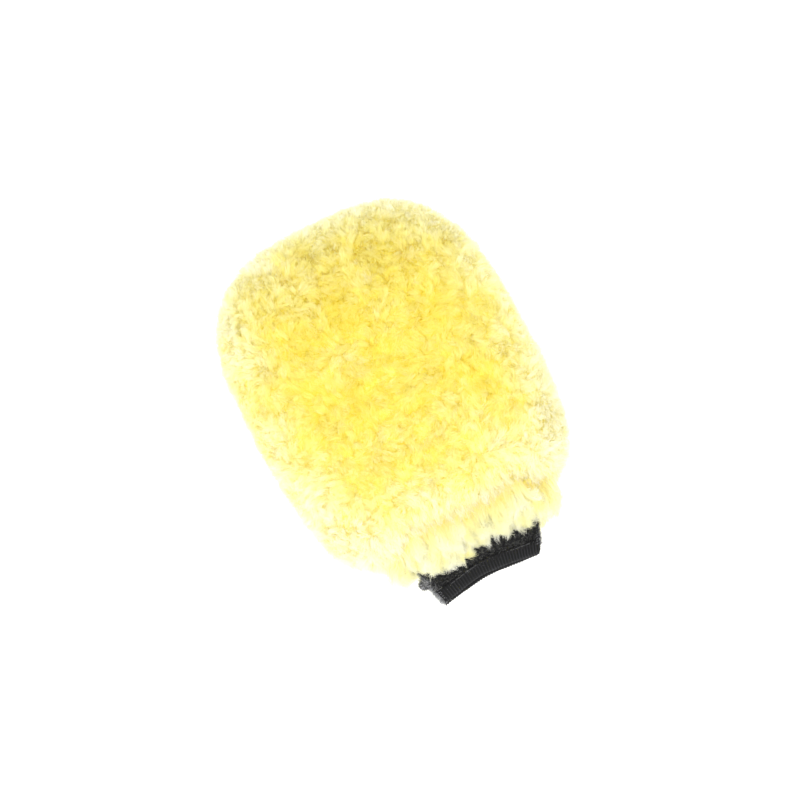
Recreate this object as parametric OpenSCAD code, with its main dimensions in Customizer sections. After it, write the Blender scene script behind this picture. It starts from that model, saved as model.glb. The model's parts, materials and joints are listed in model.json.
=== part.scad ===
// Wash mitt: two wool panels sewn round the edge over a lined hand pocket,
// with a short knitted cuff that flexes about its sewn root.
// X runs across the hand, +Y towards the fingertips and +Z up from the rest surface.
// The origin is at the middle of the footprint, on the rest surface.

/* [Wool] */
// Length of the wool body, fingertips to mouth
fleece_l = 255; // [212:1:306]
// Width of the wool body
fleece_w = 206; // [170:1:248]
// Depth of wool over the back of the hand
pile_top = 22; // [16:0.5:30]
// Depth of wool under the palm, pressed by the mitt's weight
pile_bottom = 18; // [13:0.5:24]
// Depth of wool round the edge
pile_side = 23; // [17:0.5:28]
// How far the palm side is pressed flat where it rests
rest_press = 4; // [2:0.5:8]

/* [Pocket] */
// Height of the hand pocket
pocket_h = 25; // [20:0.5:34]
// Thickness of the backing that holds the wool
skin_t = 1.2; // [0.8:0.1:2]
// Thickness of the lining cloth
lining_t = 0.8; // [0.5:0.1:1.2]
// Width of the seam allowance turned in round the edge
seam_allow = 6; // [4:0.5:9]
// Width of the lip turned in at the mouth
mouth_lip = 1.2; // [0.8:0.1:2]
// Clear gap between neighbouring layers
ply_gap = 0.3; // [0.2:0.05:0.5]

/* [Cuff] */
// Flat width of the cuff at its sewn root
cuff_root_w = 95; // [79:1:114]
// Flat width of the cuff at its hem
cuff_hem_w = 75; // [62:1:90]
// Length of cuff that stands clear of the wool
cuff_show = 25; // [20:1:38]
// Height of the opening between the two cuff panels
cuff_open_h = 10; // [8:0.5:13]
// Thickness of the knitted cuff fabric
cuff_t = 1.8; // [1.2:0.1:2.4]
// Width of the flat sewn edge on each side of the cuff
cuff_side_w = 4; // [3:0.5:6]
// How far the wool reaches out over the sewn root of the cuff
overhang = 12; // [9:0.5:16]
// How far the middle of the hem is drawn in
hem_dip = 5; // [2:0.5:8]
// Flex of the cuff each way about its root, in degrees
cuff_flex = 30; // [20:1:36]
// Clear gap kept round the flexing cuff
swing_gap = 0.6; // [0.4:0.1:1]

/* [Hem band] */
// Width of the ribbed band on the cuff's outer face
band_w = 9; // [7:0.5:14]
// Thickness of the band
band_t = 1; // [0.6:0.1:1.5]
// Clear gap between the band and the cuff fabric that it is folded round
fold_gap = 0.1; // [0.05:0.05:0.3]

/* [Sewing] */
// Diameter of the sewing thread
thread_d = 0.7; // [0.4:0.1:1]
// Distance from one stitch to the next in the body's seams
stitch_pitch = 6; // [4:0.5:9]
// Length of one stitch along the hem band
hem_stitch = 3; // [2:0.5:5]
// Distance between the loops that bind the cuff's sides
loop_pitch = 3; // [2:0.5:5]
// Thickness of the loose seam tail at the cuff's corner
tail_d = 3.6; // [2.5:0.1:5]
// Bend radius of the seam tail's curl
tail_r = 3.4; // [2.8:0.1:5]

/* [Hidden] */

// Gap between the upper and lower halves at the hand plane
parting = 0.5;
half_parting = parting / 2;

// Outline exponents: the wool is rounder in plan than the squarer pocket inside it
wool_outline_n = 3;
pocket_outline_n = 4;
// Crown exponents: how late the crown turns down towards the edge
wool_crown_n = 4;
pocket_crown_n = 6;
// Width over which the mouth closes down to the side seams
mouth_fade = 14;
// Spare height of the flared mouth, as extra reach in front of the cuff's root
flare_spare = 3;

// Heights from the hand plane
skin_h = pocket_h / 2 + lining_t + ply_gap + skin_t;
up_h = skin_h + ply_gap + pile_top;
plane_z = skin_h + ply_gap + pile_bottom;
down_h = plane_z + rest_press;
cuff_half_h = cuff_open_h / 2 + cuff_t;
mouth_h = cuff_half_h / cos(cuff_flex) + swing_gap;
flare_h = mouth_h + (overhang + flare_spare) * tan(cuff_flex);
skin_mouth_h = mouth_h - ply_gap;
lining_mouth_h = skin_mouth_h - skin_t - ply_gap;

// Places along Y
body_y = cuff_show / 2;
hem_y = -(fleece_l + cuff_show) / 2;
mouth_end_y = body_y - fleece_l / 2 * crown_u(flare_h / up_h, wool_crown_n);
hinge_y = mouth_end_y + overhang;
skin_edge_y = hinge_y + swing_gap / 2;
root_y = hinge_y - cuff_half_h * tan(cuff_flex) - swing_gap;

// Shells: [half width, length to the fingertips, length to the mouth, height, outline, crown]
wool_up = [fleece_w / 2, fleece_l / 2, fleece_l / 2, up_h, wool_outline_n, wool_crown_n];
wool_down = [fleece_w / 2, fleece_l / 2, fleece_l / 2, down_h, wool_outline_n, wool_crown_n];
skin = [
    fleece_w / 2 - pile_side,
    fleece_l / 2 - pile_side,
    (body_y - skin_edge_y) / crown_u(skin_mouth_h / skin_h, pocket_crown_n),
    skin_h, pocket_outline_n, pocket_crown_n
];
lining_loop_r = lining_t / 2 + half_parting + thread_d * 0.4;
lining_room = skin_t + seam_allow + ply_gap + lining_loop_r + thread_d / 2;
lining = inset(skin, lining_room, skin_t + ply_gap);

// Directions round the body from its middle, closer together across the mouth
mouth_turn = atan((cuff_root_w / 2 + mouth_fade + 2) / (fleece_l / 2));
mouth_steps = 18;
edge_steps = 48;
turns = concat(
    [for (i = [0:mouth_steps - 1]) -90 - mouth_turn + 2 * mouth_turn * i / mouth_steps],
    [for (i = [0:edge_steps - 1]) -90 + mouth_turn + (360 - 2 * mouth_turn) * i / edge_steps]
);

// Share of the full outline at which a crown of exponent n stands at a height share q
function crown_u(q, n) = pow(1 - q * q, 1 / n);

// A shell made smaller by d in plan and dh in height
function inset(s, d, dh) = [s[0] - d, s[1] - d, s[2] - d, s[3] - dh, s[4], s[5]];

function smooth(q) = let(c = min(max(q, 0), 1)) c * c * (3 - 2 * c);

// Distance from the middle of the body to a shell's outline in one direction
function reach(s, turn) =
    let(b = sin(turn) < 0 ? s[2] : s[1])
    pow(pow(abs(cos(turn)) / s[0], s[4]) + pow(abs(sin(turn)) / b, s[4]), -1 / s[4]);

// 1 across the mouth, 0 where the two halves are sewn together
function mouth(s, turn) =
    sin(turn) >= 0 ? 0 :
    1 - smooth((abs(reach(s, turn) * cos(turn)) - cuff_root_w / 2 - 1) / mouth_fade);

// Height of a shell's rim above the hand plane
function rim(s, turn, mouth_rim) = half_parting + (mouth_rim - half_parting) * mouth(s, turn);

function at(r, turn, z) = [r * cos(turn), body_y + r * sin(turn), plane_z + z];

// One ring of a crown; f runs from 0 at the top to 1 at the rim, which lift raises
function crown_ring(s, side, mouth_rim, f, lift = 0, start = 90, flat = 1000) = [
    for (turn = turns)
        let(low = asin((rim(s, turn, mouth_rim) + lift) / s[3]))
        let(a = low + (start - low) * (1 - f))
        at(reach(s, turn) * pow(cos(a), 2 / s[5]), turn, side * min(s[3] * sin(a), flat))
];

// Width of the backing's edge that is turned in: an allowance where sewn, a lip at the mouth
function turn_in(turn) = seam_allow + (mouth_lip - seam_allow) * mouth(skin, turn);

// Distance from the middle to the backing's inner face at the turned-in edge
function fold_reach(turn) =
    let(s = inset(skin, skin_t, skin_t))
    reach(s, turn) * crown_u((rim(skin, turn, skin_mouth_h) + skin_t) / s[3], s[5]);

function fold_ring(side, lift) = [
    for (turn = turns)
        at(fold_reach(turn) - turn_in(turn), turn, side * (rim(skin, turn, skin_mouth_h) + lift))
];

// A closed solid through rings of equal length, from one end point to the other. From ring
// inward on, where the rings run back to the middle, the quads are split the other way, so that
// the faces of two shells that nest lie parallel.
module loft(start, rings, end, side, inward) {
    n = len(rings[0]);
    last = len(rings) - 1;
    points = concat([start], [for (ring = rings) each ring], [end]);
    faces = concat(
        [for (j = [0:n - 1]) [0, 1 + (j + 1) % n, 1 + j]],
        [for (i = [0:last - 1], j = [0:n - 1])
            let(a = 1 + i * n + j, b = 1 + i * n + (j + 1) % n)
            each (i < inward
                ? [[a, b, b + n], [a, b + n, a + n]]
                : [[a, b, a + n], [b, b + n, a + n]])],
        [for (j = [0:n - 1]) [1 + last * n + j, 1 + last * n + (j + 1) % n, len(points) - 1]]
    );
    polyhedron(points, side > 0 ? faces : [for (f = faces) [f[2], f[1], f[0]]]);
}

// A closed sheet between two grids of equal size
module sheet(outer, inner, side) {
    rows = len(outer);
    cols = len(outer[0]);
    count = rows * cols;
    points = concat([for (row = outer) each row], [for (row = inner) each row]);
    skin_faces = [for (i = [0:rows - 2], j = [0:cols - 2])
        let(a = i * cols + j, b = a + cols)
        each [[a, a + 1, b + 1], [a, b + 1, b]]];
    border = concat(
        [for (j = [0:cols - 1]) j],
        [for (i = [1:rows - 1]) i * cols + cols - 1],
        [for (j = [cols - 2:-1:0]) (rows - 1) * cols + j],
        [for (i = [rows - 2:-1:1]) i * cols]
    );
    edge_faces = [for (k = [0:len(border) - 1])
        let(a = border[k], b = border[(k + 1) % len(border)])
        each [[a, a + count, b + count], [a, b + count, b]]];
    faces = concat(skin_faces, [for (f = skin_faces) [f[2] + count, f[1] + count, f[0] + count]],
        edge_faces);
    polyhedron(points, side > 0 ? faces : [for (f = faces) [f[2], f[1], f[0]]]);
}

// Wool between an outer crown and the backing; the palm side is pressed flat where it rests
module fleece(outer, side, flat) {
    inner = inset(skin, -ply_gap, -ply_gap);
    start = flat < outer[3] ? asin(flat / outer[3]) : 90;
    first = flat < outer[3] ? 0 : 1;
    outer_steps = 9;
    inner_steps = 6;
    loft(
        at(0, 0, side * min(outer[3], flat)),
        concat(
            [for (i = [first:outer_steps])
                crown_ring(outer, side, flare_h, i / outer_steps, 0, start, flat)],
            [for (i = [inner_steps:-1:1])
                crown_ring(inner, side, mouth_h, i / inner_steps)]
        ),
        at(0, 0, side * inner[3]),
        side,
        outer_steps - first
    );
}

module backing(side) {
    inner = inset(skin, skin_t, skin_t);
    steps = 6;
    loft(
        at(0, 0, side * skin[3]),
        concat(
            [for (i = [1:steps]) crown_ring(skin, side, skin_mouth_h, i / steps)],
            [fold_ring(side, 0), fold_ring(side, skin_t)],
            [for (i = [steps:-1:1]) crown_ring(inner, side, skin_mouth_h, i / steps, skin_t)]
        ),
        at(0, 0, side * inner[3]),
        side,
        steps
    );
}

module lining_panel(side) {
    inner = inset(lining, lining_t, lining_t);
    steps = 6;
    loft(
        at(0, 0, side * lining[3]),
        concat(
            [for (i = [1:steps]) crown_ring(lining, side, lining_mouth_h, i / steps)],
            [for (i = [steps:-1:1]) crown_ring(inner, side, lining_mouth_h, i / steps)]
        ),
        at(0, 0, side * inner[3]),
        side,
        steps
    );
}

// Directions of the stitches along the sewn edge, clear of the mouth
sewn_turn = mouth_turn + 3;
sewn_count = round((PI * (skin[0] + skin[1])) * (360 - 2 * sewn_turn) / 360 / stitch_pitch);
sewn_turns = [for (i = [0:sewn_count]) -90 + sewn_turn + (360 - 2 * sewn_turn) * i / sewn_count];

// Plan position and heading of a stitch that lies inward of a shell's outline
function plan(s, turn, back) = (reach(s, turn) - back) * [cos(turn), sin(turn)];
function heading(s, turn, back) =
    let(d = plan(s, turn + 1, back) - plan(s, turn - 1, back)) atan2(d[1], d[0]);

// A straight length of thread along X, centred
module thread(length) {
    rotate([0, 90, 0]) cylinder(d = thread_d, h = length, center = true, $fn = 24);
}

// A ring of thread round the X axis
module thread_ring(radius) {
    rotate([0, 90, 0])
        rotate_extrude($fn = 48)
            translate([radius, 0]) circle(d = thread_d, $fn = 24);
}

// One lock stitch through both seam allowances
module lock_stitch() {
    face = half_parting + skin_t + thread_d * 0.3;
    for (side = [-1, 1])
        translate([0, 0, side * face]) thread(stitch_pitch * 0.7);
    cylinder(d = thread_d * 0.8, h = 2 * face, center = true, $fn = 24);
}

// Cuff. Across it s runs from -1 to 1, and along it t runs from 0 at the root to 1 at the hem.
cuff_cols = 22;
cuff_rows = 8;
cross = [for (i = [0:cuff_cols]) -1 + 2 * i / cuff_cols];
band_space = band_t + 2 * fold_gap;
// Where the panels have spread far enough apart for the band's inner fold
band_room_t = 0.68;
spread_start_t = 0.3;

function cuff_half_w(t) = cuff_root_w / 2 - (cuff_root_w - cuff_hem_w) / 2 * pow(max(t, 0), 1.4);

// The hem runs nearly straight from each corner to a soft bend left of its middle
hem_lean = 0.15;
hem_bend = 0.12;

function hem_share(s) = norm([s + hem_lean * (1 - s * s), hem_bend]) / norm([1, hem_bend]);
function fold_y(s) = hem_y + hem_dip * (1 - pow(hem_share(s), 1.2));
function panel_end_y(s) = fold_y(s) + band_t + fold_gap;
function panel_y(s, t) = root_y + (panel_end_y(s) - root_y) * t;
function t_at(s, y) = (root_y - y) / (root_y - panel_end_y(s));

// Height of a panel's inner face above the hand plane: flat sewn sides, arched between them
function panel_in(s, t) =
    let(side_z = half_parting
        + band_space * smooth((t - spread_start_t) / (band_room_t - spread_start_t)))
    let(arch_s = 1 - cuff_side_w / cuff_half_w(t))
    side_z + (cuff_open_h / 2 - side_z) * max(0, 1 - pow(abs(s) / arch_s, 2.2));

function cuff_at(s, t, z) = [s * cuff_half_w(t), panel_y(s, t), plane_z + z];

module cuff_panel(side) {
    along = [for (i = [0:cuff_rows]) i / cuff_rows];
    sheet(
        [for (s = cross) [for (t = along) cuff_at(s, t, side * (panel_in(s, t) + cuff_t))]],
        [for (s = cross) [for (t = along) cuff_at(s, t, side * panel_in(s, t))]],
        side
    );
}

// The band is folded round the panel's hem: outer leg, fold, inner leg
module hem_band(side) {
    outer = [
        for (s = cross)
            let(t0 = t_at(s, fold_y(s) + band_w), tm = (t0 + 1) / 2)
            let(z0 = cuff_t + fold_gap + band_t, z1 = -fold_gap - band_t, w = cuff_half_w(1))
            let(mid = panel_in(s, 1) + cuff_t / 2)
            [
                cuff_at(s, t0, side * (panel_in(s, t0) + z0)),
                cuff_at(s, tm, side * (panel_in(s, tm) + z0)),
                cuff_at(s, 1, side * (panel_in(s, 1) + z0)),
                [s * w, fold_y(s) + band_t * 0.3, plane_z + side * (mid + cuff_t * 0.4 + fold_gap)],
                [s * w, fold_y(s), plane_z + side * mid],
                [s * w, fold_y(s) + band_t * 0.3, plane_z + side * (mid - cuff_t * 0.4 - fold_gap)],
                cuff_at(s, 1, side * (panel_in(s, 1) + z1)),
                cuff_at(s, tm, side * (panel_in(s, tm) + z1)),
                cuff_at(s, t0, side * (panel_in(s, t0) + z1))
            ]
    ];
    inner = [
        for (s = cross)
            let(t0 = t_at(s, fold_y(s) + band_w), tm = (t0 + 1) / 2)
            let(z0 = cuff_t + fold_gap, z1 = -fold_gap, w = cuff_half_w(1))
            let(mid = panel_in(s, 1) + cuff_t / 2, y = fold_y(s) + band_t)
            [
                cuff_at(s, t0, side * (panel_in(s, t0) + z0)),
                cuff_at(s, tm, side * (panel_in(s, tm) + z0)),
                cuff_at(s, 1, side * (panel_in(s, 1) + z0)),
                [s * w, y, plane_z + side * (mid + cuff_t / 2)],
                [s * w, y, plane_z + side * mid],
                [s * w, y, plane_z + side * (mid - cuff_t / 2)],
                cuff_at(s, 1, side * (panel_in(s, 1) + z1)),
                cuff_at(s, tm, side * (panel_in(s, tm) + z1)),
                cuff_at(s, t0, side * (panel_in(s, t0) + z1))
            ]
    ];
    sheet(outer, inner, side);
}

// A row of stitches near the band's inner edge, half sunk in its outer face
module hem_stitches(side) {
    inset_w = 1.5;
    half_row = cuff_half_w(0.8) - 2 * bound_h(0.8, true) - ply_gap;
    count = floor(half_row * 2 / (hem_stitch * 1.25));
    for (i = [0:count - 1]) {
        s = (-half_row + half_row * 2 * (i + 0.5) / count) / cuff_half_w(0.8);
        t = t_at(s, fold_y(s) + band_w - inset_w);
        step = 0.02;
        here = cuff_at(s, t, side * (panel_in(s, t) + cuff_t + fold_gap + band_t));
        ahead = cuff_at(s + step, t, side * (panel_in(s + step, t) + cuff_t + fold_gap + band_t));
        d = ahead - here;
        translate(here)
            rotate([0, -atan2(d[2], norm([d[0], d[1]])), atan2(d[1], d[0])])
                thread(hem_stitch);
    }
}

// Radius of the loops that bind the cuff's sides, which the band makes thicker
function bound_h(t, in_band) =
    panel_in(1, t) + cuff_t + (in_band ? fold_gap + band_t : 0) + thread_d * 0.3;

// Loops of thread that bind both panels together along one side
module overlock(side) {
    length = root_y - panel_end_y(1);
    count = floor(length / loop_pitch);
    for (i = [0:count - 1]) {
        t = (i + 0.5) / count;
        radius = bound_h(t, t > t_at(1, fold_y(1) + band_w + thread_d));
        x = cuff_half_w(t) + thread_d - radius;
        translate([side * x, panel_y(1, t), plane_z])
            rotate([0, 0, 90]) thread_ring(radius);
    }
}

module top_fleece() { color("#F7E58A") fleece(wool_up, 1, 1000); }
module bottom_fleece() { color("#F3DF82") fleece(wool_down, -1, plane_z); }
module top_backing() { color("#E9DDBB") backing(1); }
module bottom_backing() { color("#E3D6B2") backing(-1); }
module top_lining() { color("#DCDCD6") lining_panel(1); }
module bottom_lining() { color("#D2D2CC") lining_panel(-1); }

module perimeter_seam() {
    color("#F2EBD2")
        for (turn = sewn_turns) {
            back = reach(skin, turn) - fold_reach(turn) + seam_allow / 2;
            p = plan(skin, turn, back);
            translate([p[0], body_y + p[1], plane_z])
                rotate([0, 0, heading(skin, turn, back)]) lock_stitch();
        }
}

module lining_seam() {
    color("#C9C9C2")
        for (turn = sewn_turns) {
            p = plan(lining, turn, 0);
            translate([p[0], body_y + p[1], plane_z])
                rotate([0, 0, heading(lining, turn, 0)]) thread_ring(lining_loop_r);
        }
}

module cuff_join_seam() {
    half_turn = atan((cuff_root_w / 2 - cuff_side_w) / (body_y - skin_edge_y));
    count = floor(cuff_root_w / stitch_pitch);
    color("#3A3A3C")
        for (side = [-1, 1], i = [0:count]) {
            turn = -90 - half_turn + 2 * half_turn * i / count;
            r = reach(skin, turn) * crown_u(rim(skin, turn, skin_mouth_h) / skin_h, skin[5]);
            p = (r - mouth_lip / 2) * [cos(turn), sin(turn)];
            z = plane_z + side * (rim(skin, turn, skin_mouth_h) - thread_d * 0.1);
            translate([p[0], body_y + p[1], z])
                rotate([0, 0, heading(skin, turn, 0)]) thread(stitch_pitch * 0.6);
        }
}

module cuff_top_panel() { color("#2A2B2D") cuff_panel(1); }
module cuff_bottom_panel() { color("#262729") cuff_panel(-1); }
module top_hem_band() { color("#1B1B1D") hem_band(1); }
module bottom_hem_band() { color("#19191B") hem_band(-1); }
module top_hem_stitch() { color("#55565A") hem_stitches(1); }
module bottom_hem_stitch() { color("#55565A") hem_stitches(-1); }
module cuff_left_overlock() { color("#6B6C70") overlock(-1); }
module cuff_right_overlock() { color("#6B6C70") overlock(1); }

// The loose end of the side seam, curled up at the cuff's corner
module seam_tail() {
    tail_turn = 215;
    tail_t = 0.6;
    color("#4C4D50")
        translate([-cuff_half_w(tail_t) - tail_r + tail_d / 4, panel_y(1, tail_t), plane_z])
            rotate_extrude(angle = tail_turn, $fn = 48)
                translate([tail_r, 0]) circle(d = tail_d, $fn = 32);
}

top_fleece();
bottom_fleece();
top_backing();
bottom_backing();
perimeter_seam();
top_lining();
bottom_lining();
lining_seam();
cuff_join_seam();
cuff_top_panel();
cuff_bottom_panel();
top_hem_band();
bottom_hem_band();
top_hem_stitch();
bottom_hem_stitch();
cuff_left_overlock();
cuff_right_overlock();
seam_tail();
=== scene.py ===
"""Wash mitt: a yellow wool pile of real fibres over a soft core, and a short black knitted cuff.

Everything is in metres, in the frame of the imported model: +X across the hand, +Y towards the
fingertips, +Z up from the surface that the mitt lies on.
"""

import json
import math

import bpy
import numpy as np
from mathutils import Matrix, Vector, kdtree


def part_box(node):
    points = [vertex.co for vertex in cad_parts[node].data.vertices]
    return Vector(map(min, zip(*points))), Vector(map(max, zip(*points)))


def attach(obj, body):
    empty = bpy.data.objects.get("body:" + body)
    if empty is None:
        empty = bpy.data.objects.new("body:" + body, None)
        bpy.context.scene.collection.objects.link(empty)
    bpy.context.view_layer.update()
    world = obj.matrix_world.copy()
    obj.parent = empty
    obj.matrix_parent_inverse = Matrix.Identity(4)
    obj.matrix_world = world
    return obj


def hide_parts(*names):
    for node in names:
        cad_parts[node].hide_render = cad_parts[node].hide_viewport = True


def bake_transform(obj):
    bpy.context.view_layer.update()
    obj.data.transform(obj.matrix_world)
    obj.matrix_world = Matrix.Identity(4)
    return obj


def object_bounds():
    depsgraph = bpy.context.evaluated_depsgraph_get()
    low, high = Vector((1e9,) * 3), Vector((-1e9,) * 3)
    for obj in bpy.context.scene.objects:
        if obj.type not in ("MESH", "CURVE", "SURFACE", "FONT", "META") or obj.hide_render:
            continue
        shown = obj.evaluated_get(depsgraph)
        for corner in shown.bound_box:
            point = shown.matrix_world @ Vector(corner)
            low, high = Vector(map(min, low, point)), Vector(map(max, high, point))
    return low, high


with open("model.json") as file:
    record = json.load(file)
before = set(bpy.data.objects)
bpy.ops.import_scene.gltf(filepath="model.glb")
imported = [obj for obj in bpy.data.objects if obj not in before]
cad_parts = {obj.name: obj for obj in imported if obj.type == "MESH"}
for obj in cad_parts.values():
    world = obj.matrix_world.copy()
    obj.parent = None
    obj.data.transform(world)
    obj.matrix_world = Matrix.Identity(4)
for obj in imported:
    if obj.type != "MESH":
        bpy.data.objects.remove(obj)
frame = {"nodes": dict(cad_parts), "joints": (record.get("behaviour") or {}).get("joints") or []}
CAD_LO, CAD_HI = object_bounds()

MM = 0.001
TAU = 2 * math.pi

# ---------------------------------------------------------------- sizes from the frame

TOP_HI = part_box("top_fleece")[1]
PANEL_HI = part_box("cuff_top_panel")[1]
JOINT = next(j for j in frame["joints"] if j["name"] == "cuff_flex")
HINGE_Y, PLANE_Z = JOINT["pos_m"][1], JOINT["pos_m"][2]
HALF_WIDTH, TIP_Y = TOP_HI.x, TOP_HI.y
HEM_Y, ROOT_Y = CAD_LO.y, PANEL_HI.y
BODY_LENGTH = 255 * MM
BODY_Y = TIP_Y - BODY_LENGTH / 2
PILE_SIDE = 23 * MM
PILE_TOP = 22 * MM
REST_PRESS = 4 * MM
MOUTH_RIM = 8.4 * MM
FLARE_RIM = 17.1 * MM
MOUTH_FADE = 14 * MM
PLY_GAP = 0.3 * MM
SKIN_T, LINING_T = 1.2 * MM, 0.8 * MM
HALF_PARTING = 0.25 * MM
CUFF_ROOT_HALF_W, CUFF_HEM_HALF_W = PANEL_HI.x, 37.5 * MM
CUFF_T = 1.8 * MM
CUFF_OPEN_HALF_H = 5 * MM
CUFF_SIDE_W = 4 * MM
HEM_DIP = 5 * MM
BAND_W, BAND_T, FOLD_GAP = 9 * MM, 1 * MM, 0.1 * MM
HALVES = (("top", 1), ("bottom", -1))

# Shells: half width, length to the tips, length to the mouth, height, outline and crown exponents
UP_H = TOP_HI.z - PLANE_Z
WOOL_UP = (HALF_WIDTH, BODY_LENGTH / 2, BODY_LENGTH / 2, UP_H, 3, 4)
WOOL_DOWN = (HALF_WIDTH, BODY_LENGTH / 2, BODY_LENGTH / 2, PLANE_Z + REST_PRESS, 3, 4)
SKIN_H = UP_H - PILE_TOP - PLY_GAP
SKIN_MOUTH_U = (1 - ((MOUTH_RIM - PLY_GAP) / SKIN_H) ** 2) ** (1 / 6)
SKIN = (
    HALF_WIDTH - PILE_SIDE,
    BODY_LENGTH / 2 - PILE_SIDE,
    (BODY_Y - HINGE_Y) / SKIN_MOUTH_U,
    SKIN_H,
    4,
    6,
)

# ---------------------------------------------------------------- small helpers


def smooth(q):
    c = np.clip(q, 0, 1)
    return c * c * (3 - 2 * c)


def unit(v):
    return v / np.maximum(np.linalg.norm(v, axis=-1, keepdims=True), 1e-12)


def waves(points, size, seed, count=14):
    """Soft random lumps about `size` across, near -1 to 1, from a sum of plane waves."""
    rng = np.random.default_rng(seed)
    directions = unit(rng.normal(size=(count, 3)))
    lengths = size * rng.uniform(1.3, 2.6, count)
    phases = rng.uniform(0, TAU, count)
    angle = points @ (directions * (TAU / lengths)[:, None]).T + phases
    return np.sin(angle).sum(-1) / math.sqrt(count)


def mesh_object(name, points, faces, uvs=None, material=None):
    """A mesh object from arrays of points and of faces, with one uv per face corner."""
    mesh = bpy.data.meshes.new(name)
    sizes = np.concatenate([np.full(len(f), f.shape[1]) for f in faces])
    corners = np.concatenate([f.ravel() for f in faces])
    starts = np.concatenate([[0], np.cumsum(sizes)[:-1]])
    mesh.vertices.add(len(points))
    mesh.vertices.foreach_set("co", np.ascontiguousarray(points, np.float32).ravel())
    mesh.loops.add(len(corners))
    mesh.loops.foreach_set("vertex_index", corners.astype(np.int32))
    mesh.polygons.add(len(sizes))
    mesh.polygons.foreach_set("loop_start", starts.astype(np.int32))
    if uvs is not None:
        layer = mesh.uv_layers.new(name="OFBake")
        layer.data.foreach_set("uv", np.ascontiguousarray(uvs, np.float32).ravel())
    mesh.update(calc_edges=True)
    mesh.polygons.foreach_set("use_smooth", np.full(len(sizes), True))
    obj = bpy.data.objects.new(name, mesh)
    bpy.context.scene.collection.objects.link(obj)
    if material:
        mesh.materials.append(material)
    return obj


def grid_faces(rows, cols, wrap=False, flip=False, start=0):
    """Quads of a grid of points in row order; wrap joins the last column to the first."""
    i, j = np.meshgrid(np.arange(rows - 1), np.arange(cols if wrap else cols - 1), indexing="ij")
    a, b = i * cols + j, i * cols + (j + 1) % cols
    quads = np.stack([a, b, b + cols, a + cols], -1).reshape(-1, 4) + start
    return quads[:, ::-1] if flip else quads


def strip(first, second, wrap):
    """Quads between two lists of point numbers."""
    if wrap:
        first, second = np.append(first, first[0]), np.append(second, second[0])
    return np.stack([first[:-1], first[1:], second[1:], second[:-1]], -1)


def closed_shell(name, face, back, flip, material):
    """A domed cloth from two stacks of rings, each closed at its top, joined round the rim."""
    rows, cols, _ = face.shape
    size = rows * cols
    ring = np.arange(cols)
    tops = np.array([face[0].mean(0), back[0].mean(0)])
    points = np.concatenate([face.reshape(-1, 3), back.reshape(-1, 3), tops])
    quads = [
        grid_faces(rows, cols, True, flip),
        grid_faces(rows, cols, True, not flip, size),
        strip(ring + (rows - 1) * cols, ring + (rows - 1) * cols + size, True)[:, :: -1 if flip else 1],
    ]
    after = (ring + 1) % cols
    fan_face = np.stack([ring * 0 + 2 * size, after, ring], -1)
    fan_back = np.stack([ring * 0 + 2 * size + 1, ring + size, after + size], -1)
    fans = [f[:, ::-1] if flip else f for f in (fan_face, fan_back)]
    return mesh_object(name, points, quads + fans, None, material)


def closed_cloth(name, face, back, flip, material, coords=None):
    """A cloth from two grids of points, its face and its back, joined round the border.
    coords are two numbers at each point of the face, which the material reads."""
    rows, cols, _ = face.shape
    size = rows * cols
    grid = np.arange(size).reshape(rows, cols)
    border = np.concatenate([grid[0, :-1], grid[:-1, -1], grid[-1, :0:-1], grid[:0:-1, 0]])
    points = np.concatenate([face.reshape(-1, 3), back.reshape(-1, 3)])
    rim = strip(border, border + size, True)
    quads = [
        grid_faces(rows, cols, False, flip),
        grid_faces(rows, cols, False, not flip, size),
        rim if flip else rim[:, ::-1],
    ]
    uvs = None
    if coords:
        pairs = np.tile(np.stack(coords, -1).reshape(-1, 2), (2, 1))
        uvs = pairs[np.concatenate(quads).ravel()]
    return mesh_object(name, points, quads, uvs, material)


def tangents(normal):
    """Two directions square to each normal and to each other."""
    helper = np.where(np.abs(normal[:, 2:3]) < 0.8, [[0, 0, 1.0]], [[1.0, 0, 0]])
    first = unit(np.cross(normal, helper))
    return first, np.cross(normal, first)


def nearest(centres, points, count=1):
    """Numbers and distances of the nearest centres to each point."""
    tree = kdtree.KDTree(len(centres))
    for n, c in enumerate(centres):
        tree.insert(c, n)
    tree.balance()
    found = [tree.find_n(p, count) for p in points]
    numbers = np.array([[f[1] for f in row] for row in found])
    return numbers, np.array([[f[2] for f in row] for row in found])


def thin_out(points, gap):
    """Numbers of points that keep at least `gap` from each other."""
    taken, kept = {}, []
    steps = [(i, j, k) for i in (-1, 0, 1) for j in (-1, 0, 1) for k in (-1, 0, 1)]
    for n, (i, j, k) in enumerate(np.floor(points / gap).astype(int).tolist()):
        near = [taken[c] for c in ((i + a, j + b, k + c) for a, b, c in steps) if c in taken]
        if not near or np.sum((points[near] - points[n]) ** 2, 1).min() > gap * gap:
            taken[i, j, k] = n
            kept.append(n)
    return np.array(kept)


# ---------------------------------------------------------------- the mitt's shells


def reach(shell, turn):
    """Distance from the body's middle to a shell's outline."""
    half, tip, mouth, _, n, _ = shell
    b = np.where(np.sin(turn) < 0, mouth, tip)
    return (np.abs(np.cos(turn) / half) ** n + np.abs(np.sin(turn) / b) ** n) ** (-1 / n)


def mouth_share(shell, turn):
    """1 across the hand opening, 0 where the two halves are sewn together."""
    x = np.abs(reach(shell, turn) * np.cos(turn))
    return np.where(np.sin(turn) < 0, 1 - smooth((x - CUFF_ROOT_HALF_W - 1 * MM) / MOUTH_FADE), 0)


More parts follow.
